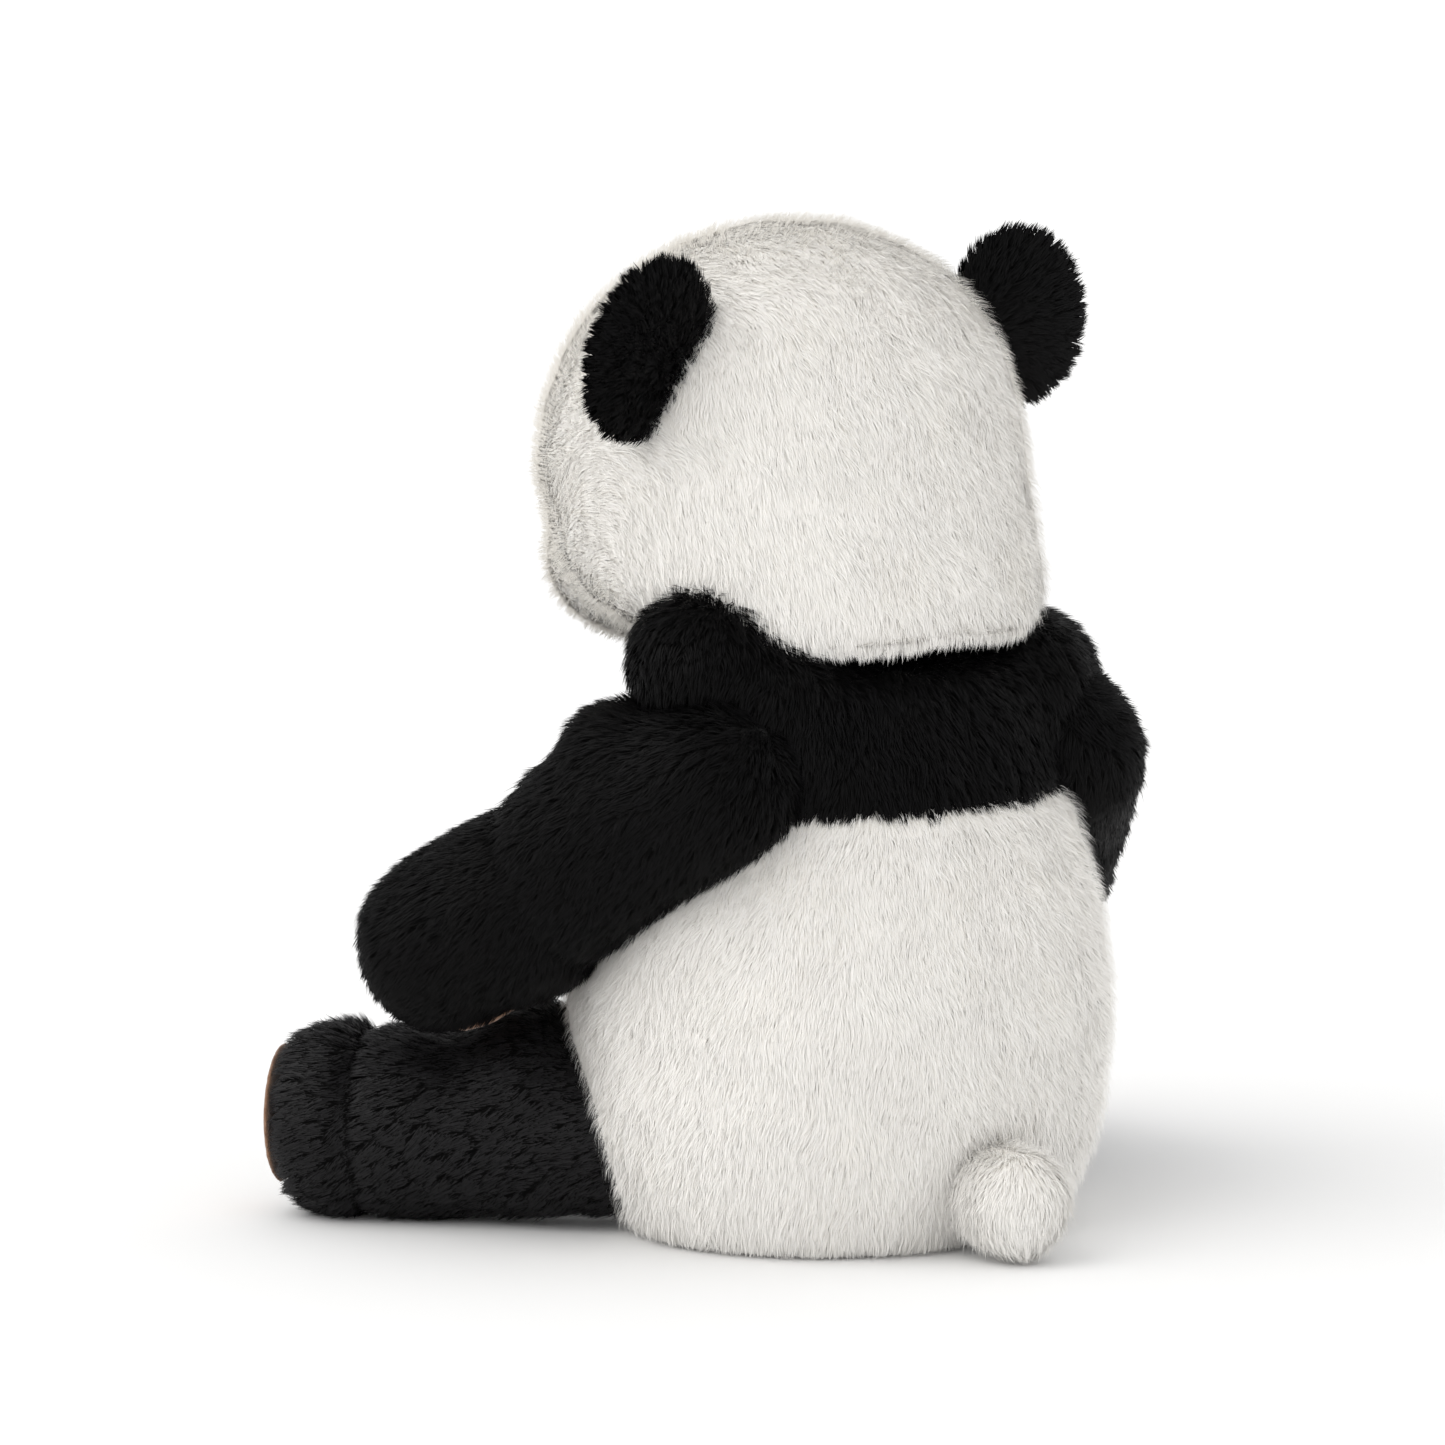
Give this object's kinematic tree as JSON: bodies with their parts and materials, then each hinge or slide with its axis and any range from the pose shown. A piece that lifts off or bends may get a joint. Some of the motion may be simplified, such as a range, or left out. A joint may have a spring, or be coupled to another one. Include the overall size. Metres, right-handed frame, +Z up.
{
  "type": "plush panda",
  "caption": "Seated plush panda with a white head and belly, black ears, arms, legs and shoulders, suede pads and a stub tail.",
  "frame": {"origin": "centre of the footprint, on the floor the panda sits on", "axes": "+Z up, -Y the way the panda looks, +X its left side"},
  "size_m": [0.4496, 0.3674, 0.477],
  "materials": {
    "white_fur": "matte",
    "black_fur": "matte",
    "brown_suede": "matte",
    "stuffing_fibre": "matte",
    "bead_bag_cloth": "matte",
    "black_plastic": "gloss",
    "washer_plastic": "matte",
    "black_thread": "matte"
  },
  "bodies": {
    "torso": {"belly_skin": "white_fur", "chest_skin": "black_fur", "upper_back_skin": "black_fur", "torso_stuffing": "stuffing_fibre", "seat_bead_bag": "bead_bag_cloth", "seat_panel": "white_fur"},
    "neck": {"neck_stuffing": "stuffing_fibre"},
    "head": {"head_skin": "white_fur", "head_stuffing": "stuffing_fibre", "muzzle_skin": "white_fur", "muzzle_stuffing": "stuffing_fibre", "nose": "black_plastic", "nose_washer": "washer_plastic", "lip_stitch": "black_thread", "mouth_stitch": "black_thread", "eye_patch_left": "black_fur", "eye_left": "black_plastic", "eye_left_washer": "washer_plastic", "eye_patch_right": "black_fur", "eye_right": "black_plastic", "eye_right_washer": "washer_plastic"},
    "arm_left": {"arm_left_skin": "black_fur", "arm_left_stuffing": "stuffing_fibre", "paw_pad_left": "brown_suede"},
    "leg_left": {"leg_left_skin": "black_fur", "leg_left_stuffing": "stuffing_fibre", "foot_pad_left": "brown_suede"},
    "ear_left": {"ear_left_front": "black_fur", "ear_left_back": "black_fur"},
    "arm_right": {"arm_right_skin": "black_fur", "arm_right_stuffing": "stuffing_fibre", "paw_pad_right": "brown_suede"},
    "leg_right": {"leg_right_skin": "black_fur", "leg_right_stuffing": "stuffing_fibre", "foot_pad_right": "brown_suede"},
    "ear_right": {"ear_right_front": "black_fur", "ear_right_back": "black_fur"},
    "tail": {"tail_skin": "white_fur", "tail_stuffing": "stuffing_fibre"}
  },
  "joints": [
    {"name": "head_turn", "type": "hinge", "parent": "torso", "child": "neck", "pos_m": [0, 0.0222, 0.24], "axis": [0, 0, 1], "range_deg": [-20, 20], "stiffness_Nm_per_rad": 1.5},
    {"name": "head_nod", "type": "hinge", "parent": "neck", "child": "head", "pos_m": [0, 0.0222, 0.24], "axis": [1, 0, 0], "range_deg": [-5, 8], "stiffness_Nm_per_rad": 12},
    {"name": "arm_left_lift", "type": "hinge", "parent": "torso", "child": "arm_left", "pos_m": [0.106, 0.0622, 0.226], "axis": [-0.3755, -0.6476, 0.6631], "range_deg": [0, 45], "stiffness_Nm_per_rad": 0.3},
    {"name": "leg_left_spread", "type": "hinge", "parent": "torso", "child": "leg_left", "pos_m": [0.08, -0.0128, 0.05], "axis": [0, 0, 1], "range_deg": [-8, 8], "stiffness_Nm_per_rad": 1},
    {"name": "ear_left_flex", "type": "hinge", "parent": "head", "child": "ear_left", "pos_m": [0.086, 0.0152, 0.4135], "axis": [-0.4015, 0.0927, 0.9112], "range_deg": [-12, 12], "stiffness_Nm_per_rad": 0.2},
    {"name": "arm_right_lift", "type": "hinge", "parent": "torso", "child": "arm_right", "pos_m": [-0.106, 0.0622, 0.226], "axis": [-0.3755, 0.6476, -0.6631], "range_deg": [0, 45], "stiffness_Nm_per_rad": 0.3},
    {"name": "leg_right_spread", "type": "hinge", "parent": "torso", "child": "leg_right", "pos_m": [-0.08, -0.0128, 0.05], "axis": [0, 0, -1], "range_deg": [-8, 8], "stiffness_Nm_per_rad": 1},
    {"name": "ear_right_flex", "type": "hinge", "parent": "head", "child": "ear_right", "pos_m": [-0.086, 0.0152, 0.4135], "axis": [-0.4015, -0.0927, -0.9112], "range_deg": [-12, 12], "stiffness_Nm_per_rad": 0.2},
    {"name": "tail_wag", "type": "hinge", "parent": "torso", "child": "tail", "pos_m": [0, 0.1282, 0.032], "axis": [0, 0, 1], "range_deg": [-12, 12], "stiffness_Nm_per_rad": 0.5}
  ]
}
